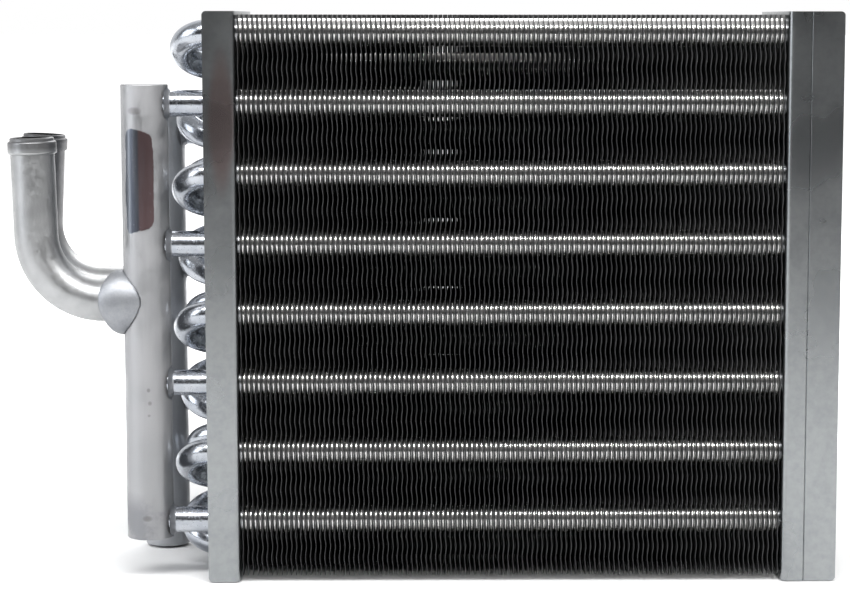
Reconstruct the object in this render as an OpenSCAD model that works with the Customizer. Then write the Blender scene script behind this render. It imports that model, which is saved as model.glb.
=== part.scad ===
// Heater core: a fin-and-tube heat exchanger for hot coolant, with two
// folded end plates, four parallel circuits, two manifolds and two hose pipes.
// X runs along the tubes, Y along the air flow, Z up the rows of tubes.
// Lengths are in millimetres.

/* [Core] */
// Clear length between the end plates
core_length = 197.4; // [120:0.1:300]
// Tubes in each column, two for every circuit
tube_rows = 8; // [4:2:10]
// Distance between the tubes of one column
row_pitch = 25.4; // [22:0.1:38]
// Distance between two columns
column_pitch = 19.05; // [17:0.05:30]

/* [Tubes] */
// Outside diameter of the core tubes
tube_od = 9.52; // [7.94:0.01:10.5]
// Wall of the core tubes
tube_wall = 0.7; // [0.4:0.05:1.2]
// Straight length of a hairpin beyond the right end plate
hairpin_stand = 1; // [0.5:0.5:10]
// Straight length of a return bend outside its bells
bend_stand = 2.4; // [1:0.1:15]
// Length of the belled end of a core tube
bell_length = 4.4; // [2:0.1:5]
// Gap between the left end plate and a bell
bell_stand = 0.8; // [0.4:0.1:1.5]

/* [Fins] */
// Thickness of the fin sheet
fin_thickness = 0.2; // [0.1:0.05:0.3]
// Distance from one fin to the next
fin_pitch = 1.76; // [1.2:0.01:4]
// Least distance from an end plate to the first fin
fin_margin = 0.9; // [0.5:0.1:4]
// Set-back of the fins behind the flanges
fin_set_back = 1.5; // [0:0.1:5]

/* [End plates] */
// Thickness of the plate sheet
plate_thickness = 1.2; // [0.8:0.1:2]
// Inside radius of the folds
fold_radius = 1; // [0.5:0.1:2.5]
// Width of the left flanges
left_flange = 11.5; // [6:0.1:20]
// Width of the right flanges
right_flange = 20; // [10:0.1:40]
// Radius of the free corners of the flanges
corner_radius = 1.5; // [0.5:0.1:4]
// Height of the plates above the fins
plate_above = 1.2; // [0:0.1:5]
// Depth of the plates below the fins
plate_below = 2.2; // [1:0.1:5]
// Distance of the crease in the right flanges from the fold
crease_offset = 8.3; // [5:0.1:9]
// Depth of the crease
crease_depth = 0.25; // [0.1:0.05:0.5]

/* [Manifolds] */
// Extra diameter of the manifolds over the hose pipes
manifold_excess = 1.12; // [1:0.01:6]
// Wall of the manifolds
manifold_wall = 1.5; // [1:0.1:2.5]
// Distance of the manifolds beyond the outermost point of the return bends
manifold_gap = 0; // [0:0.1:30]
// Space between the top stub and the front top cap
front_top_space = 0.7; // [0.2:0.1:15]
// Space between the bottom stub and the front bottom cap
front_bottom_space = 0.2; // [0.2:0.1:12]
// Space between the top stub and the rear top cap
rear_top_space = 0.8; // [0.2:0.1:15]
// Space between the bottom stub and the rear bottom cap
rear_bottom_space = 1.8; // [0.2:0.1:6]
// Thickness of the manifold caps
cap_thickness = 1; // [0.6:0.1:2]
// Depth of the plug of a cap
cap_plug = 0.4; // [0.2:0.1:1]

/* [Hose pipes] */
// Outside diameter of the hose pipes
pipe_od = 15.88; // [12.7:0.01:19.1]
// Wall of the hose pipes
pipe_wall = 1.2; // [0.8:0.1:2]
// Radius of the elbow at the middle of the pipe
elbow_radius = 24; // [18:0.5:30]
// Height of the bead of a hose pipe
bead_height = 0.85; // [0.3:0.05:1.5]
// Length of the bead
bead_length = 4.8; // [3:0.1:8]
// Length of the nose between the bead and the rim
nose_length = 1.2; // [0.5:0.1:10]
// Height of the front pipe's joint above the middle of its manifold
front_pipe_lift = 5.3; // [-15:0.1:15]
// Straight length of the front pipe between the manifold and the elbow
front_pipe_run = 6.7; // [6:0.1:50]
// Straight length of the front pipe above the elbow
front_pipe_upright = 35.4; // [15:0.1:120]
// Outward lean of the whole front pipe in degrees
front_pipe_lean = 1.5; // [-4:0.1:4]
// Height of the rear pipe's joint above the middle of its manifold
rear_pipe_lift = 16; // [-16:0.1:16]
// Straight length of the rear pipe between the manifold and the elbow
rear_pipe_run = 15.5; // [6:0.1:50]
// Straight length of the rear pipe above the elbow
rear_pipe_upright = 33.5; // [15:0.1:120]
// Outward lean of the whole rear pipe in degrees
rear_pipe_lean = -2.8; // [-4:0.1:4]

/* [Joints] */
// Gap between pieces that are brazed together
braze_gap = 0.05; // [0.02:0.01:0.1]
// Gap between a tube and an end plate
plate_gap = 0.15; // [0.05:0.05:0.4]
// Length of a stub inside its manifold
stub_entry = 1; // [0.5:0.1:2]
// Height of the fillet round a stub
stub_fillet_height = 2.1; // [1:0.1:3]
// Half width of the fillet round a stub
stub_fillet_width = 2.6; // [2:0.1:3]
// Height of the fillet round a hose pipe
pipe_fillet_height = 2.9; // [2:0.1:4]
// Half width of the fillet round a hose pipe
pipe_fillet_width = 7.4; // [4:0.1:8]
// Distance of the middle of that fillet from the manifold's side
pipe_fillet_offset = 0.5; // [0:0.1:1.5]
// Sag of that fillet below the pipe's axis
pipe_fillet_sag = 1.2; // [0:0.1:1.5]

/* [Hidden] */
$fn = 64;

// The core has two columns fed from the front and two fed from the rear.
tube_columns = 4;
rows_per_circuit = 2;
circuits = tube_rows / rows_per_circuit;
hairpin_count = circuits * tube_columns;
bend_count = circuits * (tube_columns - 1);

tube_radius = tube_od / 2;
tube_bore = tube_radius - tube_wall;
bell_bore = tube_radius + braze_gap;
bell_radius = bell_bore + tube_wall;
pipe_radius = pipe_od / 2;
pipe_bore = pipe_radius - pipe_wall;
manifold_radius = pipe_radius + manifold_excess / 2;
manifold_bore = manifold_radius - manifold_wall;
stub_fillet_radius = tube_radius + braze_gap + stub_fillet_height;
pipe_fillet_radius = pipe_radius + braze_gap + pipe_fillet_height;
pipe_fillet_middle = manifold_radius + pipe_fillet_offset;
rim_chamfer = 0.3;
overlap = 1;

fin_height = tube_rows * row_pitch;
fin_depth = tube_columns * column_pitch;
fin_count = 1 + floor((core_length - 2 * fin_margin - fin_thickness) / fin_pitch);
first_fin = (core_length - (fin_count - 1) * fin_pitch - fin_thickness) / 2;
plate_height = plate_below + fin_height + plate_above;
plate_depth = fin_depth + 2 * fin_set_back;

// Tube axes: column 0 is at the front and row 0 at the top, and every
// second column stands half a row lower.
last_column = tube_columns - 1;
first_row_drop = row_pitch / 4;
stagger = row_pitch / 2;
function column_y(column) = fin_set_back + column_pitch * (column + 0.5);
function tube_z(column, row) =
    plate_below + fin_height - first_row_drop - row_pitch * row - stagger * (column % 2);

// The stubs sit on the lower tube of each circuit.
function feed_row(circuit) = rows_per_circuit * circuit + 1;
// A circuit crosses from column to column on its upper and lower tube by turns.
function cross_row(column, circuit) = rows_per_circuit * circuit + (column % 2);

bend_radius = norm([column_pitch, stagger]) / 2;
bell_end = -plate_thickness - bell_stand - bell_length;
bell_foot = -plate_thickness - bell_stand;
bend_axis = bell_end - bend_stand;
insert_end = bell_foot - braze_gap;
manifold_x = bend_axis - bend_radius - tube_radius - manifold_gap - manifold_radius;
hairpin_axis = core_length + plate_thickness + hairpin_stand;

// A manifold ends beyond its outer stubs, with room for the caps.
cap_room = tube_radius + cap_plug + cap_thickness;
front_top = tube_z(0, feed_row(0)) + front_top_space + cap_room;
front_foot = tube_z(0, feed_row(circuits - 1)) - front_bottom_space - cap_room;
rear_top = tube_z(last_column, feed_row(0)) + rear_top_space + cap_room;
rear_foot = tube_z(last_column, feed_row(circuits - 1)) - rear_bottom_space - cap_room;
front_pipe_z = (front_top + front_foot) / 2 + front_pipe_lift;
rear_pipe_z = (rear_top + rear_foot) / 2 + rear_pipe_lift;

front_pipe_leg = manifold_radius + front_pipe_run;
rear_pipe_leg = manifold_radius + rear_pipe_run;
// The bead is widest over its middle, between its two rounded edges.
bead_crest = nose_length + bead_height;

// Reach of the wall of a leaning upright at one height above its elbow.
function wall_reach(leg, height, lean) =
    (leg + elbow_radius + pipe_radius) * cos(lean) + (elbow_radius + height) * sin(lean);
// Reach of a whole hose pipe: its elbow, its bead and its rim are compared.
function pipe_reach(leg, upright, lean) = max(
    leg * cos(lean) + elbow_radius * (1 + sin(lean)) + pipe_radius,
    wall_reach(leg, upright - bead_crest, lean) + bead_height,
    wall_reach(leg, upright - rim_chamfer, lean)
);

// Box of the whole core, which places the origin at the middle of its foot.
left_end = manifold_x - max(
    pipe_reach(front_pipe_leg, front_pipe_upright, front_pipe_lean),
    pipe_reach(rear_pipe_leg, rear_pipe_upright, rear_pipe_lean)
);
right_end = max(core_length + right_flange, hairpin_axis + row_pitch / 2 + tube_radius);
centre_x = (left_end + right_end) / 2;
centre_y = plate_depth / 2;
foot_z = min(0, rear_foot);

// Helpers

// Moves a piece from the corner of the front flange to the core's own origin.
module placed() {
    translate([-centre_x, -centre_y, -foot_z])
        children();
}

module ring(outer, inner) {
    difference() {
        circle(r = outer);
        circle(r = inner);
    }
}

// A cylinder from one X to another along a tube axis.
module rod(from_x, to_x, radius) {
    translate([from_x, 0, 0])
        rotate([0, 90, 0])
            cylinder(r = radius, h = to_x - from_x);
}

// A straight tube from one X to another.
module tube(from_x, to_x, outer, inner) {
    translate([from_x, 0, 0])
        rotate([0, 90, 0])
            linear_extrude(height = to_x - from_x)
                ring(outer, inner);
}

// Half a turn of tube in the XY plane that bulges towards -X.
module half_turn(radius, outer, inner) {
    rotate([0, 0, 90])
        rotate_extrude(angle = 180)
            translate([radius, 0])
                ring(outer, inner);
}

// All tube axes of the core, for the holes in fins and plates.
module at_tube_axes() {
    for (column = [0:last_column], row = [0:tube_rows - 1])
        translate([column_y(column), tube_z(column, row)])
            children();
}

// Turns a drawing in the YZ plane into a sheet that grows towards +X.
module yz_sheet(thickness) {
    rotate([90, 0, 90])
        linear_extrude(height = thickness)
            children();
}

// Fins

module fin_outline() {
    difference() {
        translate([fin_set_back, plate_below])
            square([fin_depth, fin_height]);
        at_tube_axes()
            circle(r = tube_radius + braze_gap);
    }
}

module fins() {
    color("DimGray")
        placed()
            for (i = [0:fin_count - 1])
                translate([first_fin + i * fin_pitch, 0, 0])
                    yz_sheet(fin_thickness)
                        fin_outline();
}

// End plates

// One fold, with its corner at the origin of the flange's outer face.
module fold_outline() {
    outer = fold_radius + plate_thickness;
    intersection() {
        translate([-outer, outer])
            ring(outer, fold_radius);
        translate([-outer, 0])
            square(outer);
    }
}

// Section of a plate that stands at X = 0 and opens towards -X.
module channel_outline(flange) {
    outer = fold_radius + plate_thickness;
    translate([-plate_thickness, outer])
        square([plate_thickness, plate_depth - 2 * outer]);
    for (side = [0, 1])
        translate([0, side * plate_depth])
            mirror([0, side]) {
                fold_outline();
                translate([-flange, 0])
                    square([flange - outer, plate_thickness]);
            }
}

// Side view of the plate, with the free corners of its flanges rounded.
module channel_side(flange) {
    for (z = [corner_radius, plate_height - corner_radius])
        translate([-flange + corner_radius, z])
            circle(r = corner_radius);
    translate([-flange, corner_radius])
        square([flange, plate_height - 2 * corner_radius]);
    translate([-flange + corner_radius, 0])
        square([flange - corner_radius, plate_height]);
}

module channel(flange) {
    difference() {
        intersection() {
            linear_extrude(height = plate_height)
                channel_outline(flange);
            translate([0, plate_depth + overlap, 0])
                rotate([90, 0, 0])
                    linear_extrude(height = plate_depth + 2 * overlap)
                        channel_side(flange);
        }
        translate([-plate_thickness - overlap, 0, 0])
            yz_sheet(plate_thickness + 2 * overlap)
                at_tube_axes()
                    circle(r = tube_radius + plate_gap);
    }
}

// The stamped crease in both right flanges.
module creases() {
    for (side = [0, 1])
        translate([-crease_offset, side * plate_depth, -overlap])
            mirror([0, side, 0])
                linear_extrude(height = plate_height + 2 * overlap)
                    polygon([
                        [-crease_depth, 0],
                        [-crease_depth, -overlap],
                        [crease_depth, -overlap],
                        [crease_depth, 0],
                        [0, crease_depth]
                    ]);
}

module left_end_plate() {
    color("Silver")
        placed()
            channel(left_flange);
}

module right_end_plate() {
    color("Silver")
        placed()
            translate([core_length, 0, 0])
                mirror([1, 0, 0])
                    difference() {
                        channel(right_flange);
                        creases();
                    }
}

// Tubes

// A straight leg of a hairpin, with a bell for the piece that is brazed in.
module hairpin_leg() {
    difference() {
        union() {
            rod(bell_end, hairpin_axis, tube_radius);
            rod(bell_end, bell_foot, bell_radius);
        }
        rod(bell_end - overlap, hairpin_axis + overlap, tube_bore);
        rod(bell_end - overlap, bell_foot, bell_bore);
    }
}

module hairpin_tube(column, circuit) {
    upper = tube_z(column, rows_per_circuit * circuit);
    color("Gainsboro")
        placed()
            translate([0, column_y(column), upper - row_pitch / 2]) {
                for (side = [-1, 1])
                    translate([0, 0, side * row_pitch / 2])
                        hairpin_leg();
                translate([hairpin_axis, 0, 0])
                    rotate([90, 0, 0])
                        mirror([1, 0, 0])
                            half_turn(row_pitch / 2, tube_radius, tube_bore);
            }
}

// The bend that joins a column to the next one behind it.
module return_bend(column, circuit) {
    row = cross_row(column, circuit);
    y = [column_y(column), column_y(column + 1)];
    z = [tube_z(column, row), tube_z(column + 1, row)];
    color("LightSteelBlue")
        placed()
            translate([0, (y[0] + y[1]) / 2, (z[0] + z[1]) / 2])
                rotate([atan2(z[1] - z[0], y[1] - y[0]), 0, 0]) {
                    translate([bend_axis, 0, 0])
                        half_turn(bend_radius, tube_radius, tube_bore);
                    for (side = [-1, 1])
                        translate([0, side * bend_radius, 0])
                            tube(bend_axis, insert_end, tube_radius, tube_bore);
                }
}

// A short tube from a hairpin's bell into its manifold.
module stub(column, circuit) {
    color("WhiteSmoke")
        placed()
            translate([0, column_y(column), tube_z(column, feed_row(circuit))])
                tube(manifold_x + manifold_bore - stub_entry, insert_end, tube_radius, tube_bore);
}

// Manifolds

module at_stubs(column) {
    for (circuit = [0:circuits - 1])
        translate([0, 0, tube_z(column, feed_row(circuit))])
            children();
}

module manifold(column, foot, top, pipe_z, lean) {
    color("Silver")
        placed()
            translate([0, column_y(column), 0])
                difference() {
                    translate([manifold_x, 0, foot + cap_thickness])
                        linear_extrude(height = top - foot - 2 * cap_thickness)
                            ring(manifold_radius, manifold_bore);
                    at_stubs(column)
                        rod(manifold_x, bell_end, tube_radius + braze_gap);
                    translate([manifold_x, 0, pipe_z])
                        rotate([0, -lean, 0])
                            rod(-2 * manifold_radius, 0, pipe_bore);
                }
}

// A pressed cap with a rounded edge, drawn with its outer face up.
module cap() {
    edge = cap_thickness / 2;
    rotate_extrude() {
        square([manifold_radius - edge, cap_thickness]);
        square([manifold_radius, cap_thickness - edge]);
        intersection() {
            translate([manifold_radius - edge, cap_thickness - edge])
                circle(r = edge);
            square([manifold_radius, cap_thickness]);
        }
        translate([0, -cap_plug])
            square([manifold_bore - braze_gap, cap_plug + edge / 2]);
    }
}

module top_cap(column, top) {
    color("LightGray")
        placed()
            translate([manifold_x, column_y(column), top - cap_thickness])
                cap();
}

module bottom_cap(column, foot) {
    color("LightGray")
        placed()
            translate([manifold_x, column_y(column), foot + cap_thickness])
                mirror([0, 0, 1])
                    cap();
}

// Fillets of filler metal

// A rounded ring about the X axis that reaches from its outer radius to the axis.
module fillet_body(radius, width) {
    rotate([0, 90, 0])
        rotate_extrude()
            intersection() {
                translate([radius - width, 0])
                    circle(r = width);
                translate([0, -width])
                    square([radius, 2 * width]);
            }
}

module stub_fillets(column) {
    color("DarkGray")
        placed()
            translate([0, column_y(column), 0])
                at_stubs(column)
                    difference() {
                        translate([manifold_x + manifold_radius, 0, 0])
                            fillet_body(stub_fillet_radius, stub_fillet_width);
                        rod(manifold_x, bell_end, tube_radius + braze_gap);
                        translate([manifold_x, 0, -row_pitch / 2])
                            cylinder(r = manifold_radius + braze_gap, h = row_pitch);
                    }
}

module pipe_fillet(column, pipe_z, lean) {
    color("DarkGray")
        placed()
            translate([manifold_x, column_y(column), pipe_z])
                difference() {
                    translate([-pipe_fillet_middle, 0, -pipe_fillet_sag])
                        fillet_body(pipe_fillet_radius, pipe_fillet_width);
                    rotate([0, -lean, 0])
                        rod(-pipe_fillet_middle - 2 * pipe_fillet_width, 0, pipe_radius + braze_gap);
                    translate([0, 0, -2 * pipe_fillet_radius])
                        cylinder(r = manifold_radius + braze_gap, h = 4 * pipe_fillet_radius);
                }
}

// Hose pipes

// Half section of a rolled bead on a wall of the given radius.
module bead_section(radius, top) {
    for (z = [top - bead_height, top - bead_length + bead_height])
        intersection() {
            translate([radius, z])
                circle(r = bead_height);
            translate([0, z - bead_height])
                square([radius + bead_height, 2 * bead_height]);
        }
    translate([0, top - bead_length + bead_height])
        square([radius + bead_height, bead_length - 2 * bead_height]);
}

// Half section of the upright from the elbow to the rim, with its rolled bead.
module upright_section(length) {
    difference() {
        union() {
            polygon([
                [0, 0],
                [pipe_radius, 0],
                [pipe_radius, length - rim_chamfer],
                [pipe_radius - rim_chamfer, length],
                [0, length]
            ]);
            bead_section(pipe_radius, length - nose_length);
        }
        translate([0, -overlap])
            square([pipe_bore, length + 2 * overlap]);
        bead_section(pipe_bore, length - nose_length);
    }
}

module hose_pipe(column, pipe_z, leg, upright, lean) {
    color("Silver")
        placed()
            translate([manifold_x, column_y(column), pipe_z])
                difference() {
                    rotate([0, -lean, 0]) {
                        tube(-leg, 0, pipe_radius, pipe_bore);
                        translate([-leg, 0, elbow_radius]) {
                            rotate([90, 0, 0])
                                rotate([0, 0, 180])
                                    rotate_extrude(angle = 90)
                                        translate([elbow_radius, 0])
                                            ring(pipe_radius, pipe_bore);
                            translate([-elbow_radius, 0, 0])
                                rotate_extrude()
                                    upright_section(upright);
                        }
                    }
                    translate([0, 0, -pipe_od])
                        cylinder(r = manifold_radius + braze_gap, h = 2 * pipe_od);
                }
}

// One draw line for each node

function numbered(name, i) = str(name, "_", i + 1);

fins();
left_end_plate();
right_end_plate();
for (i = [0:hairpin_count - 1])
    hairpin_tube(i % tube_columns, floor(i / tube_columns));
for (i = [0:bend_count - 1])
    return_bend(i % last_column, floor(i / last_column));
for (i = [0:circuits - 1])
    stub(0, i);
for (i = [0:circuits - 1])
    stub(last_column, i);
manifold(0, front_foot, front_top, front_pipe_z, front_pipe_lean);  // front_manifold
top_cap(0, front_top);  // front_top_cap
bottom_cap(0, front_foot);  // front_bottom_cap
hose_pipe(0, front_pipe_z, front_pipe_leg, front_pipe_upright, front_pipe_lean);  // front_hose_pipe
manifold(last_column, rear_foot, rear_top, rear_pipe_z, rear_pipe_lean);  // rear_manifold
top_cap(last_column, rear_top);  // rear_top_cap
bottom_cap(last_column, rear_foot);  // rear_bottom_cap
hose_pipe(last_column, rear_pipe_z, rear_pipe_leg, rear_pipe_upright, rear_pipe_lean);  // rear_hose_pipe
stub_fillets(0);  // front_stub_fillets
stub_fillets(last_column);  // rear_stub_fillets
pipe_fillet(0, front_pipe_z, front_pipe_lean);  // front_pipe_fillet
pipe_fillet(last_column, rear_pipe_z, rear_pipe_lean);  // rear_pipe_fillet
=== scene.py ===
import math

import bpy
import numpy as np
from mathutils import Matrix, Vector


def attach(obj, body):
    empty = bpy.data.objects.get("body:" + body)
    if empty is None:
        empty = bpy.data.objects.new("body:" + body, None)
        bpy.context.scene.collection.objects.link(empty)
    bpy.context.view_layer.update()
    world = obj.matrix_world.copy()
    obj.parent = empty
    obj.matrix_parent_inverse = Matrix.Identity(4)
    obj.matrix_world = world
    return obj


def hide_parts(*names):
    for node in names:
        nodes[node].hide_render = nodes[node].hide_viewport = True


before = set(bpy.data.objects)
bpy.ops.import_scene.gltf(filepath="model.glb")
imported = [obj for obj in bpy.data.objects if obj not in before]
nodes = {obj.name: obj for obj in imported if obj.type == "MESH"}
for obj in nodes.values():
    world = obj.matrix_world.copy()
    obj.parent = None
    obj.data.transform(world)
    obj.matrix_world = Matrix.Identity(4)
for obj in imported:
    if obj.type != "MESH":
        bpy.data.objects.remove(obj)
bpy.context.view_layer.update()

# Sizes of the core in millimetres, in the core's own corner coordinates:
# X from the left plate's face, Y from the flanges' front, Z from the foot.
CENTRE_X = 64.577
CENTRE_Y = 39.6
CORE_LENGTH = 197.4
FIN_FRONT = 1.5
FIN_DEPTH = 76.2
FIN_FOOT = 2.2
FIN_HEIGHT = 203.2
FIN_PITCH = 1.76
FIN_THICKNESS = 0.2
FIN_COUNT = 112
ROWS = 8
ROW_PITCH = 25.4
COLUMN_PITCH = 19.05
COLUMNS = 4
HOLE_RADIUS = 4.81
MANIFOLD_X = -33.508
MANIFOLD_RADIUS = 8.5
BELL_END = -6.4
STAGGER = ROW_PITCH / 2

def column_y(column):
    return FIN_FRONT + COLUMN_PITCH * (column + 0.5)


def tube_z(column, row):
    drop = ROW_PITCH / 4 + ROW_PITCH * row + STAGGER * (column % 2)
    return FIN_FOOT + FIN_HEIGHT - drop


def to_row(points):
    """Corner coordinates in millimetres to the row frame in metres."""
    return (np.asarray(points, dtype=float) - (CENTRE_X, CENTRE_Y, 0)) / 1000


# Shading


def new_material(name):
    material = bpy.data.materials.new(name)
    material.use_nodes = True
    tree = material.node_tree
    return material, tree, tree.nodes["Principled BSDF"]


def math_node(tree, operation, a, b=None, clamp=False):
    node = tree.nodes.new("ShaderNodeMath")
    node.operation = operation
    node.use_clamp = clamp
    for socket, value in zip(node.inputs, (a, b)):
        if value is None:
            continue
        if isinstance(value, (int, float)):
            socket.default_value = value
        else:
            tree.links.new(value, socket)
    return node.outputs[0]


def noise(tree, vector, scale, detail=3.0, rough=0.55):
    node = tree.nodes.new("ShaderNodeTexNoise")
    node.inputs["Scale"].default_value = scale
    node.inputs["Detail"].default_value = detail
    node.inputs["Roughness"].default_value = rough
    tree.links.new(vector, node.inputs["Vector"])
    return node.outputs[0]


def ramp(tree, value, low, high, start, end):
    """Maps value from low..high to start..end, held at both ends."""
    node = tree.nodes.new("ShaderNodeMapRange")
    node.interpolation_type = "SMOOTHSTEP"
    tree.links.new(value, node.inputs["Value"])
    for socket, number in zip(("From Min", "From Max", "To Min", "To Max"), (low, high, start, end)):
        node.inputs[socket].default_value = number
    return node.outputs[0]


def mix_colour(tree, factor, a, b):
    node = tree.nodes.new("ShaderNodeMix")
    node.data_type = "RGBA"
    if isinstance(factor, (int, float)):
        node.inputs[0].default_value = factor
    else:
        tree.links.new(factor, node.inputs[0])
    for socket, value in ((node.inputs[6], a), (node.inputs[7], b)):
        if isinstance(value, tuple):
            socket.default_value = (*value, 1)
        else:
            tree.links.new(value, socket)
    return node.outputs[2]


def coordinates(tree, stretch=(1, 1, 1)):
    """Object coordinates, which are the row frame in metres, with an optional stretch."""
    source = tree.nodes.new("ShaderNodeTexCoord").outputs["Object"]
    if stretch == (1, 1, 1):
        return source
    node = tree.nodes.new("ShaderNodeMapping")
    node.inputs["Scale"].default_value = stretch
    tree.links.new(source, node.inputs["Vector"])
    return node.outputs[0]


def bump(tree, shader, height, strength, distance):
    node = tree.nodes.new("ShaderNodeBump")
    node.inputs["Strength"].default_value = strength
    node.inputs["Distance"].default_value = distance
    tree.links.new(height, node.inputs["Height"])
    tree.links.new(node.outputs[0], shader.inputs["Normal"])


def metal(name, dark, light, rough, metallic=1.0, grain=60.0, stretch=(1, 1, 1), relief=0.15, distance=0.0002):
    """Metal with a mottled tone, a mottled roughness and a fine relief."""
    material, tree, shader = new_material(name)
    vector = coordinates(tree, stretch)
    cloud = noise(tree, vector, grain)
    fine = noise(tree, vector, grain * 9, detail=4)
    tree.links.new(mix_colour(tree, ramp(tree, cloud, 0.3, 0.7, 0, 1), dark, light), shader.inputs["Base Color"])
    tree.links.new(ramp(tree, fine, 0.25, 0.75, rough[0], rough[1]), shader.inputs["Roughness"])
    shader.inputs["Metallic"].default_value = metallic
    bump(tree, shader, fine, relief, distance)
    return material


def separate(tree, vector):
    node = tree.nodes.new("ShaderNodeSeparateXYZ")
    tree.links.new(vector, node.inputs[0])
    return node.outputs


def blot(tree, vector, centre, reach, soft, ragged=None, amount=0.0):
    """1 inside an ellipsoid and 0 outside it, with a soft and optionally ragged rim."""
    terms = []
    for value, middle, half in zip(separate(tree, vector), centre, reach):
        share = math_node(tree, "DIVIDE", math_node(tree, "SUBTRACT", value, middle), half)
        terms.append(math_node(tree, "MULTIPLY", share, share))
    total = math_node(tree, "ADD", math_node(tree, "ADD", terms[0], terms[1]), terms[2])
    if ragged is not None:
        sway = math_node(tree, "MULTIPLY", math_node(tree, "SUBTRACT", ragged, 0.5), amount)
        total = math_node(tree, "ADD", total, sway)
    return ramp(tree, total, 1 - soft, 1 + soft, 1, 0)


def product(tree, *values):
    result = values[0]
    for value in values[1:]:
        result = math_node(tree, "MULTIPLY", result, value)
    return result


def plate_metal():
    """Satin rolled sheet: painted shade darkens the front faces towards the top, and the left one is tinged red
    there.
    """
    material, tree, shader = new_material("plate_sheet_satin")
    vector = coordinates(tree)
    rolled = coordinates(tree, (1, 1, 0.12))
    cloud = noise(tree, vector, 28)
    spangle = noise(tree, vector, 420, detail=2)
    streak = noise(tree, rolled, 900, detail=2)
    tone = math_node(tree, "ADD", product(tree, cloud, 0.6), product(tree, spangle, 0.4))
    bright = mix_colour(tree, ramp(tree, tone, 0.35, 0.65, 0, 1), (0.315, 0.33, 0.34), (0.375, 0.39, 0.395))
    y, z = separate(tree, vector)[1:]
    # Painted shade: the front faces get darker towards the top.
    front = ramp(tree, y, -0.036, -0.030, 1, 0)
    shade = product(tree, front, ramp(tree, z, 0.03, 0.18, 0, 0.3))
    shaded = mix_colour(tree, shade, bright, (0.13, 0.13, 0.135))
    tinge = blot(tree, vector, (-0.0695, -0.0396, 0.168), (0.0042, 0.004, 0.024), 0.6, cloud, 1.2)
    colour = mix_colour(tree, product(tree, tinge, 0.55), shaded, (0.26, 0.165, 0.155))
    tree.links.new(colour, shader.inputs["Base Color"])
    tree.links.new(ramp(tree, cloud, 0.3, 0.7, 0.25, 0.32), shader.inputs["Roughness"])
    shader.inputs["Metallic"].default_value = 1.0
    bump(tree, shader, streak, 0.12, 0.0001)
    return material


# The bare window in the front manifold's bloom: its dark tint and its stripes are painted reflection.
WINDOW_MIDDLE = (-0.0994, 0.1460)
WINDOW_REACH = (0.0051, 0.0180)
WINDOW_REFLECTION_LEFT = (0.26, 0.28, 0.32)
WINDOW_REFLECTION_STRIPES = [(-0.1027, (0.095, 0.105, 0.13)), (-0.0996, (0.20, 0.135, 0.14))]
STRIPE_EDGE = 0.0006
# Pits and stains on the front manifold: X, Z, half width and half height.
PITS = [
    (-0.0972, 0.0703, 0.0006, 0.0007),
    (-0.0968, 0.0655, 0.0007, 0.0008),
    (-0.0971, 0.0610, 0.0006, 0.0005),
    (-0.1008, 0.1712, 0.0022, 0.0012),
    (-0.0985, 0.0230, 0.0016, 0.0010),
]


def window_mask(tree, x, z, cloud):
    """0 on the bare metal and 1 around it. The window narrows towards its right side."""
    across = math_node(tree, "DIVIDE", math_node(tree, "SUBTRACT", x, WINDOW_MIDDLE[0]), WINDOW_REACH[0])
    along = math_node(tree, "DIVIDE", math_node(tree, "SUBTRACT", z, WINDOW_MIDDLE[1]), WINDOW_REACH[1])
    taper = math_node(tree, "ADD", 1.0, product(tree, across, 0.08))
    along = math_node(tree, "POWER", math_node(tree, "ABSOLUTE", product(tree, along, taper)), 8)
    across = math_node(tree, "POWER", math_node(tree, "ABSOLUTE", across), 6)
    reach = math_node(tree, "ADD", across, along)
    sway = product(tree, math_node(tree, "SUBTRACT", cloud, 0.5), 2.2)
    return ramp(tree, math_node(tree, "ADD", reach, sway), 0.8, 1.1, 0, 1)


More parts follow.
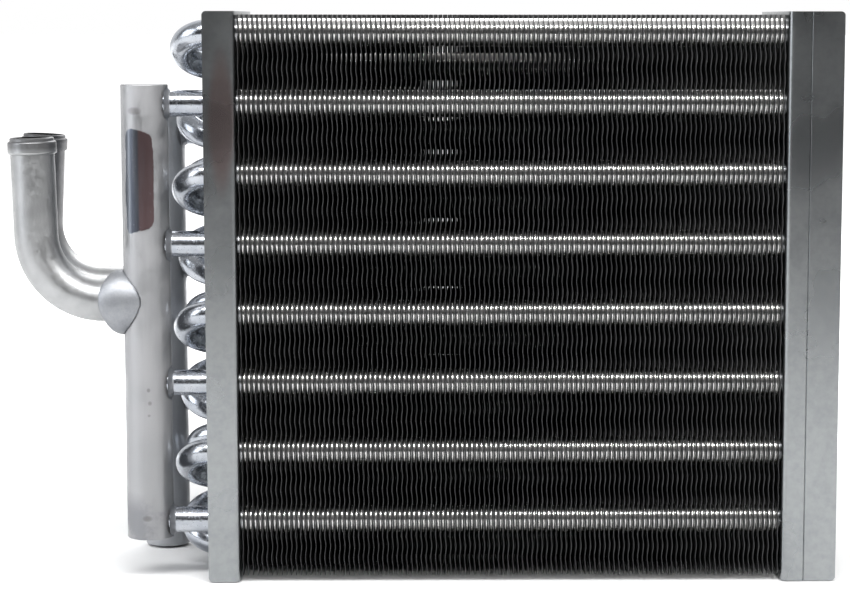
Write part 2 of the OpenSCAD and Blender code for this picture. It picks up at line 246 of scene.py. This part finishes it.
def manifold_metal(window):
    """Drawn tube under a matte flux bloom, with a ragged window of bare metal if asked."""
    material, tree, shader = new_material("manifold_window" if window else "manifold_bloom")
    vector = coordinates(tree)
    cloud = noise(tree, vector, 75, detail=5, rough=0.6)
    fine = noise(tree, vector, 700, detail=4)
    drawn = noise(tree, coordinates(tree, (1, 1, 0.1)), 260, detail=3)
    x, y, z = separate(tree, vector)
    bloom = ramp(tree, cloud, 0.35, 0.6, 0.25, 1)
    metal_tone = (0.42, 0.43, 0.45)
    bloom_tone = (0.38, 0.39, 0.41)
    if window:
        bare = math_node(tree, "MAXIMUM", window_mask(tree, x, z, cloud), ramp(tree, y, -0.03, -0.028, 0, 1))
        bloom = product(tree, bloom, bare)
        # Painted reflection in the bare window: a dark tint with dark stripes.
        reflection_tint = WINDOW_REFLECTION_LEFT
        for edge, stripe in WINDOW_REFLECTION_STRIPES:
            reflection_tint = mix_colour(tree, ramp(tree, x, edge - STRIPE_EDGE, edge + STRIPE_EDGE, 0, 1), reflection_tint, stripe)
        metal_tone = mix_colour(tree, bare, reflection_tint, (0.37, 0.375, 0.385))
        bloom_tone = (0.385, 0.385, 0.395)
    colour = mix_colour(tree, bloom, metal_tone, bloom_tone)
    colour = mix_colour(tree, ramp(tree, fine, 0.62, 0.78, 0, 0.35), colour, (0.33, 0.33, 0.33))
    colour = mix_colour(tree, ramp(tree, drawn, 0.45, 0.75, 0, 0.25), colour, (0.26, 0.265, 0.28))
    if window:
        foot = product(tree, ramp(tree, z, 0.024, 0.034, 1, 0), ramp(tree, cloud, 0.4, 0.6, 0.1, 0.75))
        colour = mix_colour(tree, foot, colour, (0.20, 0.205, 0.22))
        for pit_x, pit_z, wide, tall in PITS:
            pit = blot(tree, vector, (pit_x, -0.0372, pit_z), (wide, 0.01, tall), 0.95, cloud, 3.0)
            colour = mix_colour(tree, product(tree, pit, 0.5), colour, (0.12, 0.11, 0.11))
    tree.links.new(colour, shader.inputs["Base Color"])
    tree.links.new(math_node(tree, "ADD", 0.28, product(tree, bloom, 0.26)), shader.inputs["Roughness"])
    tree.links.new(math_node(tree, "SUBTRACT", 1.0, product(tree, bloom, 0.35)), shader.inputs["Metallic"])
    relief = math_node(tree, "ADD", product(tree, fine, 0.5), product(tree, bloom, 0.8))
    bump(tree, shader, relief, 0.3, 0.0002)
    return material


# A point on each upright's axis and the axis' direction, in the row frame.
FRONT_UPRIGHT = ((-0.13828, -0.02858, 0.14066), (-0.026177, 0, 0.999657))
REAR_UPRIGHT = ((-0.14418, 0.02857, 0.1403), (0.04885, 0, 0.998806))
DARK_INSIDE = 0.0073
ELBOW_TOP = (0.110, 0.126)
BEAD_FOOT = (0.1562, 0.1582)
DARKER_TONE = (0.10, 0.10, 0.105)


def pipe_metal(name, upright, dark_reflection):
    """Satin tube that is dark inside its upright, with painted dark reflection above the elbow, and darker above
    the bead's foot.
    """
    material, tree, shader = new_material(name)
    vector = coordinates(tree)
    cloud = noise(tree, vector, 65)
    fine = noise(tree, vector, 585, detail=4)
    colour = mix_colour(tree, ramp(tree, cloud, 0.3, 0.7, 0, 1), (0.37, 0.375, 0.38), (0.47, 0.475, 0.48))
    height = separate(tree, vector)[2]
    # Painted dark reflection on the upright above the elbow.
    colour = mix_colour(tree, ramp(tree, height, *ELBOW_TOP, 0, dark_reflection), colour, DARKER_TONE)
    # Darker above the bead's foot.
    colour = mix_colour(tree, ramp(tree, height, *BEAD_FOOT, 0, 0.66), colour, DARKER_TONE)
    away = tree.nodes.new("ShaderNodeVectorMath")
    away.operation = "SUBTRACT"
    tree.links.new(vector, away.inputs[0])
    away.inputs[1].default_value = upright[0]
    cross = tree.nodes.new("ShaderNodeVectorMath")
    cross.operation = "CROSS_PRODUCT"
    tree.links.new(away.outputs[0], cross.inputs[0])
    cross.inputs[1].default_value = upright[1]
    length = tree.nodes.new("ShaderNodeVectorMath")
    length.operation = "LENGTH"
    tree.links.new(cross.outputs[0], length.inputs[0])
    inside = ramp(tree, length.outputs["Value"], DARK_INSIDE - 0.0002, DARK_INSIDE + 0.0002, 1, 0)
    inside = product(tree, inside, ramp(tree, height, 0.125, 0.13, 0, 1))
    tree.links.new(mix_colour(tree, inside, colour, (0.03, 0.03, 0.03)), shader.inputs["Base Color"])
    tree.links.new(ramp(tree, fine, 0.25, 0.75, 0.34, 0.48), shader.inputs["Roughness"])
    shader.inputs["Metallic"].default_value = 1.0
    bump(tree, shader, fine, 0.25, 0.0002)
    return material


# Painted light makes the fin sheet brighter round a tube, out to this distance from the tube's axis in metres.
PAINTED_LIGHT_TO = 0.0068
PAINTED_LIGHT_END = 0.0085


def fin_metal():
    """Fin sheet in painted shade, with painted light close to the tubes of the front column."""
    material, tree, shader = new_material("fin_sheet_painted_shade")
    vector = coordinates(tree)
    cloud = noise(tree, vector, 40)
    y, z = separate(tree, vector)[1:]
    foot = tube_z(0, ROWS - 1) / 1000
    pitch = ROW_PITCH / 1000
    turn = math_node(tree, "DIVIDE", math_node(tree, "SUBTRACT", z, foot), pitch)
    rise = product(tree, math_node(tree, "SUBTRACT", turn, math_node(tree, "ROUND", turn)), pitch)
    depth = math_node(tree, "SUBTRACT", y, (column_y(0) - CENTRE_Y) / 1000)
    square = math_node(tree, "ADD", product(tree, rise, rise), product(tree, depth, depth))
    distance = math_node(tree, "SQRT", square)
    # Painted light round the tubes of the front column.
    near = ramp(tree, distance, PAINTED_LIGHT_TO, PAINTED_LIGHT_END, 0.75, 0)
    # The sheet's dark tone is painted shade.
    painted_shade_sheet = mix_colour(tree, ramp(tree, cloud, 0.3, 0.7, 0, 1), (0.068, 0.068, 0.07), (0.088, 0.088, 0.09))
    tree.links.new(mix_colour(tree, near, painted_shade_sheet, (0.42, 0.42, 0.42)), shader.inputs["Base Color"])
    tree.links.new(ramp(tree, cloud, 0.3, 0.7, 0.45, 0.6), shader.inputs["Roughness"])
    shader.inputs["Metallic"].default_value = 0.85
    return material


def inner_collar_metal():
    """Collars of the inner columns: bright near the top, where light gets in, and in painted shade below."""
    material, tree, shader = new_material("collar_inner")
    height = separate(tree, coordinates(tree))[2]
    # Painted shade: the collars below the top tubes are dark.
    colour = mix_colour(tree, ramp(tree, height, 0.172, 0.180, 0, 1), (0.16, 0.16, 0.16), (0.90, 0.88, 0.87))
    tree.links.new(colour, shader.inputs["Base Color"])
    shader.inputs["Roughness"].default_value = 0.3
    shader.inputs["Metallic"].default_value = 1.0
    return material


FIN_SHEET = fin_metal()
COLLAR = metal("collar_bright", (0.90, 0.89, 0.875), (0.97, 0.96, 0.945), (0.18, 0.26), grain=90, relief=0.08)
INNER_COLLAR = inner_collar_metal()
PLATE = plate_metal()
CORE_TUBE = metal("core_tube_dull", (0.56, 0.57, 0.59), (0.68, 0.69, 0.71), (0.22, 0.36), grain=70)
BEND_TUBE = metal("bend_tube_bright", (0.38, 0.405, 0.45), (0.50, 0.52, 0.555), (0.17, 0.30), grain=90, relief=0.05)
MANIFOLD = manifold_metal(True)
REAR_MANIFOLD = manifold_metal(False)
FRONT_PIPE = pipe_metal("front_pipe_satin", FRONT_UPRIGHT, 0.06)
REAR_PIPE = pipe_metal("rear_pipe_satin", REAR_UPRIGHT, 0.75)
FILLER = metal("filler_cast", (0.29, 0.30, 0.32), (0.36, 0.37, 0.39), (0.45, 0.6), grain=160, relief=0.3)


def dress(names, material):
    for name in names:
        node = nodes[name]
        node.data.materials.clear()
        node.data.materials.append(material)


every = sorted(nodes)
dress([n for n in every if n.startswith("hairpin")], CORE_TUBE)
dress([n for n in every if n.startswith("return_bend") or "_stub_" in n and not n.endswith("fillets")], BEND_TUBE)
dress(["left_end_plate", "right_end_plate"], PLATE)
dress(["front_manifold", "front_top_cap", "front_bottom_cap"], MANIFOLD)
dress(["rear_manifold", "rear_top_cap", "rear_bottom_cap"], REAR_MANIFOLD)
dress(["front_hose_pipe"], FRONT_PIPE)
dress(["rear_hose_pipe"], REAR_PIPE)


# Pieces


def new_piece(name, points, faces, material, smooth=True):
    """A mesh from points in corner millimetres, which rides on the core."""
    mesh = bpy.data.meshes.new(name)
    mesh.from_pydata(to_row(points).tolist(), [], [tuple(int(i) for i in f) for f in faces])
    mesh.materials.append(material)
    if smooth:
        mesh.polygons.foreach_set("use_smooth", np.ones(len(mesh.polygons), dtype=bool))
    mesh.update()
    piece = bpy.data.objects.new(name, mesh)
    bpy.context.scene.collection.objects.link(piece)
    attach(piece, "root")
    return piece


# Fins: a plate with one crest between each two columns and rippled edges.

EDGE_STRIP = 3.6
RIPPLE_PERIOD = ROW_PITCH / 3
RIPPLE_HEIGHT = 0.26
CREST_HEIGHT = 0.8
CREST_WIDTH = 8.4
RIPPLE_STEPS = 6
EDGE_LEVELS = [0, 1.2, EDGE_STRIP]

# Places where a few fin edges are bent: X, Z, half height and sideways push.
DENTS = [
    (158.5, 132.6, 5.5, -0.75),
    (159.5, 131.0, 5.0, 0.5),
    (161.3, 99.5, 4.2, -0.7),
    (50.2, 104.6, 2.4, 0.7),
    (49.0, 98.8, 1.8, -0.6),
    (48.8, 80.6, 2.6, -0.75),
    (61.9, 110.8, 1.8, 0.6),
]


def fin_shift(index, x, y, z):
    """Sideways shift of a fin's sheet at y, z in corner millimetres."""
    share = min(1.0, 0.55 + 0.15 * min(index, FIN_COUNT - 1 - index))
    shift = np.zeros_like(y)
    for gap in range(COLUMNS - 1):
        middle = (column_y(gap) + column_y(gap + 1)) / 2
        t = np.clip((y - middle) / (CREST_WIDTH / 2), -1, 1)
        shift = shift + (1 if gap % 2 == 0 else -1) * CREST_HEIGHT * (0.5 + 0.5 * np.cos(math.pi * t))
    edge = np.minimum(y - FIN_FRONT, FIN_FRONT + FIN_DEPTH - y)
    weight = np.clip(1 - edge / EDGE_STRIP, 0, 1) ** 1.5
    wander = 0.5 * math.sin(index * 1.7) + 0.3 * math.sin(index * 0.31)
    ripple = RIPPLE_HEIGHT * np.sin(2 * math.pi * (z - FIN_FOOT) / RIPPLE_PERIOD + 0.25 * wander)
    shift = shift + weight * ripple
    for dent_x, dent_z, half, push in DENTS:
        near = max(0.0, 1 - abs(x - dent_x) / 1.9)
        if near > 0:
            front = np.clip(1 - (y - FIN_FRONT) / EDGE_STRIP, 0, 1)
            shift = shift + push * near * front * np.clip(1 - np.abs(z - dent_z) / half, 0, 1) ** 0.7
    return share * shift


def inner_quads():
    """The sheet between the rippled edges, as strips of constant depth with the holes left open."""
    quads = []
    levels = []
    stop = FIN_FRONT + FIN_DEPTH - EDGE_STRIP
    for column in range(COLUMNS):
        middle = column_y(column)
        levels += [middle - HOLE_RADIUS * math.cos(math.pi * k / 8) for k in range(9)]
        if column < COLUMNS - 1:
            low, high = middle + HOLE_RADIUS, column_y(column + 1) - HOLE_RADIUS
            levels += [low + (high - low) * k / 6 for k in range(1, 6)]
    levels = [FIN_FRONT + EDGE_STRIP] + levels + [stop]
    for a, b in zip(levels, levels[1:]):
        at = (a + b) / 2
        crossed = [c for c in range(COLUMNS) if abs(at - column_y(c)) < HOLE_RADIUS]
        if not crossed:
            quads.append(((a, FIN_FOOT), (b, FIN_FOOT), (b, FIN_FOOT + FIN_HEIGHT), (a, FIN_FOOT + FIN_HEIGHT)))
            continue
        column = crossed[0]
        half_a = math.sqrt(max(0.0, HOLE_RADIUS ** 2 - (a - column_y(column)) ** 2))
        half_b = math.sqrt(max(0.0, HOLE_RADIUS ** 2 - (b - column_y(column)) ** 2))
        low_a = low_b = FIN_FOOT
        for row in reversed(range(ROWS)):
            z = tube_z(column, row)
            quads.append(((a, low_a), (b, low_b), (b, z - half_b), (a, z - half_a)))
            low_a, low_b = z + half_a, z + half_b
        top = FIN_FOOT + FIN_HEIGHT
        quads.append(((a, low_a), (b, low_b), (b, top), (a, top)))
    return np.array(quads)


def strip_levels(rear):
    offsets = EDGE_LEVELS
    if rear:
        return [FIN_FRONT + FIN_DEPTH - o for o in reversed(offsets)]
    return [FIN_FRONT + o for o in offsets]


def fin_mesh(index, inner):
    """Points and faces of one fin: a plain sheet inside and a sheet of true thickness at both edges."""
    first = (CORE_LENGTH - (FIN_COUNT - 1) * FIN_PITCH - FIN_THICKNESS) / 2
    x = first + index * FIN_PITCH
    points = []
    faces = []
    flat = inner.reshape(-1, 2)
    middle = x + FIN_THICKNESS / 2 + fin_shift(index, x, flat[:, 0], flat[:, 1])
    points.append(np.column_stack([middle, flat]))
    count = len(flat)
    faces.append(np.arange(count).reshape(-1, 4))
    steps = round(FIN_HEIGHT / RIPPLE_PERIOD) * RIPPLE_STEPS
    z = FIN_FOOT + FIN_HEIGHT * np.arange(steps + 1) / steps
    for rear in (False, True):
        y = np.array(strip_levels(rear))
        grid_y, grid_z = np.meshgrid(y, z, indexing="ij")
        shift = fin_shift(index, x, grid_y.ravel(), grid_z.ravel())
        size = grid_y.size
        index_grid = np.arange(size).reshape(len(y), len(z)) + count
        for side in (0, 1):
            points.append(np.column_stack([x + side * FIN_THICKNESS + shift, grid_y.ravel(), grid_z.ravel()]))
        a = index_grid[:-1, :-1].ravel()
        b = index_grid[1:, :-1].ravel()
        c = index_grid[1:, 1:].ravel()
        d = index_grid[:-1, 1:].ravel()
        faces.append(np.column_stack([a, d, c, b]))
        faces.append(np.column_stack([a, b, c, d]) + size)
        rim = index_grid[-1] if rear else index_grid[0]
        low, high = rim[:-1], rim[1:]
        cap = [low, low + size, high + size, high] if not rear else [low, high, high + size, low + size]
        faces.append(np.column_stack(cap))
        for end in (0, -1):
            line = index_grid[:, end]
            faces.append(np.column_stack([line[:-1], line[1:], line[1:] + size, line[:-1] + size]))
        count += 2 * size
    return np.vstack(points), np.vstack(faces), count


def build_fins():
    inner = inner_quads()
    groups = 4
    bounds = [round(FIN_COUNT * k / groups) for k in range(groups + 1)]
    for group in range(groups):
        points, faces, total = [], [], 0
        for index in range(bounds[group], bounds[group + 1]):
            p, f, count = fin_mesh(index, inner)
            points.append(p)
            faces.append(f + total)
            total += count
        piece = new_piece(f"fin_pack_{group + 1}", np.vstack(points), np.vstack(faces), FIN_SHEET)
        if group == 0:
            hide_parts("fins")


# Collars: the drawn neck of every fin round every tube.

COLLAR_PROFILE = [(0.0, 5.22), (0.2, 5.0), (1.35, 4.98), (1.52, 5.08)]
INNER_COLLAR_PROFILE = [(0.0, 5.3), (0.3, 5.0), (1.45, 5.05)]


def build_collars(name, columns, segments, profile, material):
    first = (CORE_LENGTH - (FIN_COUNT - 1) * FIN_PITCH - FIN_THICKNESS) / 2
    offsets = np.array([p[0] for p in profile])
    radii = np.array([p[1] for p in profile])
    x = (first + np.arange(FIN_COUNT)[:, None] * FIN_PITCH + offsets[None, :]).ravel()
    radius = np.tile(radii, FIN_COUNT)
    keep = x < CORE_LENGTH - 0.1
    x, radius = x[keep], radius[keep]
    angle = 2 * math.pi * np.arange(segments) / segments
    rings = len(x)
    grid = np.arange(rings * segments).reshape(rings, segments)
    a = grid[:-1]
    b = grid[1:]
    quads = np.stack([a, np.roll(a, -1, 1), np.roll(b, -1, 1), b], axis=-1).reshape(-1, 4)
    points, faces, total = [], [], 0
    for column in columns:
        for row in range(ROWS):
            y = column_y(column) + radius[:, None] * np.cos(angle)[None, :]
            z = tube_z(column, row) + radius[:, None] * np.sin(angle)[None, :]
            points.append(np.stack([np.repeat(x[:, None], segments, 1), y, z], axis=-1).reshape(-1, 3))
            faces.append(quads + total)
            total += rings * segments
    new_piece(name, np.vstack(points), np.vstack(faces), material)


# Filler metal: lumpy rings at the joints.


def lumps(points, size, seed):
    """A smooth, irregular offset for each point, in the same units as size."""
    local = np.random.default_rng(seed)
    total = np.zeros(len(points))
    for _ in range(6):
        direction = local.normal(size=3)
        total += np.sin(points @ direction * 0.9 + local.uniform(0, 6.28))
    return size * total / 6


def ring_points(centre, segments, profile):
    """A ring about the X axis. The profile gives lengthwise offset and radius."""
    angle = 2 * math.pi * np.arange(segments) / segments
    points = []
    for offset, radius in profile:
        y = centre[1] + radius * np.cos(angle)
        z = centre[2] + radius * np.sin(angle)
        points.append(np.column_stack([np.full(segments, centre[0] + offset), y, z]))
    return np.vstack(points)


def ring_faces(rings, segments, closed, total=0):
    grid = np.arange(rings * segments).reshape(rings, segments) + total
    a = grid if closed else grid[:-1]
    b = np.roll(grid, -1, 0) if closed else grid[1:]
    return np.stack([a, b, np.roll(b, -1, 1), np.roll(a, -1, 1)], axis=-1).reshape(-1, 4)


def onto_manifold(points, column, clearance):
    """Moves points that lie inside the manifold's wall out to its surface."""
    y0 = column_y(column)
    reach = MANIFOLD_RADIUS + clearance
    moved = points.copy()
    depth = np.clip(reach ** 2 - (points[:, 1] - y0) ** 2, 0, None)
    wall = np.sqrt(depth)
    left = points[:, 0] < MANIFOLD_X
    moved[left, 0] = np.minimum(points[left, 0], MANIFOLD_X - wall[left])
    moved[~left, 0] = np.maximum(points[~left, 0], MANIFOLD_X + wall[~left])
    return moved


# The pipe fillet swells from the pipe's wall to this much in depth and in height.
FILLET_FOOT = 7.9
FILLET_SWELL = (2.1, 4.0)
FILLET_HALF = 8.2
FILLET_ROUNDING = 0.78
FILLET_MIDDLE = (-8.9, -1.2)


def build_pipe_fillet(side, column, joint_z):
    """The broad fillet round a hose pipe, which laps over the manifold as an oval."""
    segments, count = 72, 22
    centre = np.array((MANIFOLD_X + FILLET_MIDDLE[0], column_y(column), joint_z + FILLET_MIDDLE[1]))
    angle = 2 * math.pi * np.arange(segments) / segments
    rings = []
    reach = FILLET_HALF * np.sqrt(1 - (FILLET_ROUNDING * np.sin(angle)) ** 2)
    for k in range(count + 1):
        turn = math.pi * k / count
        swell = math.sin(turn) ** 0.9
        sunk = 0.5 * (1 - swell)
        y = (FILLET_FOOT - sunk + FILLET_SWELL[0] * swell) * np.cos(angle)
        z = (FILLET_FOOT - sunk + FILLET_SWELL[1] * swell) * np.sin(angle) - FILLET_MIDDLE[1] * (1 - swell)
        rings.append(np.column_stack([-reach * math.cos(turn), y, z]))
    points = np.vstack(rings)
    away = points * (0, 1, 1)
    away = away / np.linalg.norm(away, axis=1, keepdims=True)
    points = points + centre
    points = points + away * lumps(points * 0.35, 0.25, 11 + column)[:, None]
    points = onto_manifold(points, column, 0.03)
    piece = new_piece(f"{side}_pipe_fillet_cast", points, ring_faces(count + 1, segments, False), FILLER)
    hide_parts(f"{side}_pipe_fillet")


# The stub fillets: their reach along the stub and their height over it.
STUB_FILLET_REACH = 2.0
STUB_FILLET_HEIGHT = 1.7


def build_stub_fillets(side, column):
    segments, count = 40, 8
    points, faces, total = [], [], 0
    for circuit in range(ROWS // 2):
        centre = np.array((MANIFOLD_X + MANIFOLD_RADIUS - 0.3, column_y(column), tube_z(column, 2 * circuit + 1)))
        profile = []
        for k in range(count + 1):
            rise = math.sin(math.pi / 2 * k / count)
            profile.append((-0.6 + STUB_FILLET_REACH * rise, 4.78 + STUB_FILLET_HEIGHT * (1 - rise) ** 1.3))
        ring = ring_points(centre, segments, profile)
        away = (ring - centre) * (0, 1, 1)
        radius = np.linalg.norm(away, axis=1, keepdims=True)
        bulge = lumps(ring, 0.3, 31 + circuit + 5 * column)[:, None] * (radius > 4.9)
        ring = onto_manifold(ring + away / radius * bulge, column, 0.03)
        points.append(ring)
        faces.append(ring_faces(count + 1, segments, False, total))
        total += len(ring)
    piece = new_piece(f"{side}_stub_fillets_cast", np.vstack(points), np.vstack(faces), FILLER)
    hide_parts(f"{side}_stub_fillets")


def build_bell_fillets():
    """A small ring of filler in the mouth of every bell."""
    segments, count = 28, 6
    profile = []
    for k in range(count + 1):
        rise = math.sin(math.pi / 2 * k / count) ** 0.8
        profile.append((-1.0 + 1.3 * k / count, 4.78 + 0.72 * rise))
    points, faces, total = [], [], 0
    for column in range(COLUMNS):
        for row in range(ROWS):
            centre = (BELL_END, column_y(column), tube_z(column, row))
            ring = ring_points(centre, segments, profile)
            ring[:, 0] += lumps(ring, 0.25, 100 + column * ROWS + row) * (ring[:, 0] < BELL_END)
            points.append(ring)
            faces.append(ring_faces(count + 1, segments, False, total))
            total += len(ring)
    new_piece("bell_fillets", np.vstack(points), np.vstack(faces), FILLER)


build_fins()
build_collars("collars_front", [0], 20, COLLAR_PROFILE, COLLAR)
build_collars("collars_rear", [3], 20, COLLAR_PROFILE, COLLAR)
build_collars("collars_inner", [1, 2], 12, INNER_COLLAR_PROFILE, INNER_COLLAR)
FRONT_JOINT_Z = 103.0
REAR_JOINT_Z = 100.2
build_pipe_fillet("front", 0, FRONT_JOINT_Z)
build_pipe_fillet("rear", 3, REAR_JOINT_Z)
build_stub_fillets("front", 0)
build_stub_fillets("rear", 3)
build_bell_fillets()


# Floor, backdrop and light

def shown_background(tree, depth, start, full):
    """1 for the camera, and for reflections and transmissions too where they meet the backdrop's side."""
    path = tree.nodes.new("ShaderNodeLightPath")
    bounced = math_node(tree, "MAXIMUM", path.outputs["Is Glossy Ray"], path.outputs["Is Transmission Ray"])
    behind = product(tree, bounced, ramp(tree, depth, start, full, 0, 1))
    return math_node(tree, "MAXIMUM", path.outputs["Is Camera Ray"], behind)


def build_floor():
    mesh = bpy.data.meshes.new("floor")
    corners = [(-6, -0.95, 0), (6, -0.8, 0), (6, 30, 0), (-6, 30, 0)]
    mesh.from_pydata(corners, [], [(0, 1, 2, 3)])
    floor = bpy.data.objects.new("floor", mesh)
    floor.location.z = -0.0004
    bpy.context.scene.collection.objects.link(floor)
    material, tree, shader = new_material("floor_pale")
    shader.inputs["Base Color"].default_value = (0.88, 0.88, 0.88, 1)
    shader.inputs["Roughness"].default_value = 0.9
    shader.inputs["Specular IOR Level"].default_value = 0.1
    shader.inputs["Emission Color"].default_value = (1, 1, 1, 1)
    distance = tree.nodes.new("ShaderNodeVectorMath")
    distance.operation = "LENGTH"
    tree.links.new(coordinates(tree), distance.inputs[0])
    glow = ramp(tree, distance.outputs["Value"], 0.1, 0.5, 0.0, 0.85)
    shown = shown_background(tree, separate(tree, coordinates(tree))[1], 0.05, 0.4)
    tree.links.new(product(tree, shown, glow), shader.inputs["Emission Strength"])
    mesh.materials.append(material)


def build_world():
    world = bpy.data.worlds.new("studio")
    bpy.context.scene.world = world
    world.use_nodes = True
    tree = world.node_tree
    background = tree.nodes["Background"]
    direction = tree.nodes.new("ShaderNodeTexCoord").outputs["Generated"]
    y, z = separate(tree, direction)[1:]
    height = ramp(tree, z, 0.1, 0.95, 0.03, 0.5)
    level = math_node(tree, "MAXIMUM", height, shown_background(tree, y, 0.1, 0.5))
    tree.links.new(level, background.inputs["Strength"])
    background.inputs["Color"].default_value = (1, 1, 1, 1)


def area_light(name, location, target, size, power, colour=(1, 1, 1)):
    data = bpy.data.lights.new(name, "AREA")
    data.shape = "RECTANGLE"
    data.size, data.size_y = size
    data.energy = power
    data.color = colour
    lamp = bpy.data.objects.new(name, data)
    lamp.location = location
    lamp.rotation_euler = (Vector(target) - Vector(location)).to_track_quat("-Z", "Y").to_euler()
    lamp.visible_camera = False
    bpy.context.scene.collection.objects.link(lamp)


build_floor()
build_world()
area_light("top_strip", (0.0, -0.95, 1.25), (0, 0, 0.1), (2.0, 0.3), 34)
area_light("left_window", (-1.3, -0.5, 0.55), (0, 0, 0.1), (0.8, 0.8), 8, (0.93, 0.96, 1))
area_light("back_fill", (0.3, 1.2, 1.2), (0, 0, 0.1), (1.4, 1.0), 14)


# Camera

FOCAL = 2497.44
PRINCIPAL = (477.48, 338.84)
YAW = 0.01413
PITCH = 0.12766
ROLL = 0.00052
CAMERA_AT = (73.84, -893.787, 201.877 + FIN_FOOT)
PICTURE = (850, 592)


def build_camera():
    data = bpy.data.cameras.new("photo_view")
    data.sensor_width = 36
    data.lens = FOCAL * 36 / PICTURE[0]
    data.shift_x = (PICTURE[0] / 2 - PRINCIPAL[0]) / PICTURE[0]
    data.shift_y = (PRINCIPAL[1] - PICTURE[1] / 2) / PICTURE[0]
    data.clip_start, data.clip_end = 0.05, 60
    camera = bpy.data.objects.new("photo_view", data)
    right = Vector((math.cos(YAW), -math.sin(YAW), 0))
    forward = Vector((math.sin(YAW) * math.cos(PITCH), math.cos(YAW) * math.cos(PITCH), -math.sin(PITCH)))
    up = right.cross(forward)
    turned_right = math.cos(ROLL) * right + math.sin(ROLL) * up
    turned_up = -math.sin(ROLL) * right + math.cos(ROLL) * up
    turn = Matrix((turned_right, turned_up, -forward)).transposed()
    camera.matrix_world = Matrix.Translation(Vector(to_row(CAMERA_AT))) @ turn.to_4x4()
    bpy.context.scene.collection.objects.link(camera)
    bpy.context.scene.camera = camera


build_camera()
bpy.context.scene.view_settings.view_transform = "Standard"
